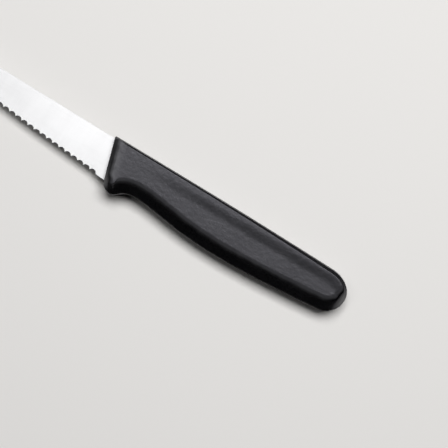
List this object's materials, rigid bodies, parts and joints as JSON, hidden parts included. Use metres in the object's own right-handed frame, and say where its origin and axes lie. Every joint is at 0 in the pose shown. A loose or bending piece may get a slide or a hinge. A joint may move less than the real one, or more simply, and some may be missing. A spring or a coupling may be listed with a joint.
{
  "type": "serrated vegetable knife",
  "caption": "Small serrated vegetable knife with a pointed steel blade and a moulded black plastic handle, lying on its side.",
  "frame": {"origin": "centre of the knife's length and height, on the plane that the handle's flat side rests on", "axes": "+X from the blade's tip towards the butt, +Y from the edge towards the spine, +Z away from the resting side"},
  "size_m": [0.2138, 0.0196, 0.0124],
  "materials": {
    "steel": "fine satin, ground along the blade's width",
    "plastic": "finely textured black moulding"
  },
  "bodies": {
    "root": {"blade": "steel", "handle": "plastic"}
  },
  "joints": []
}
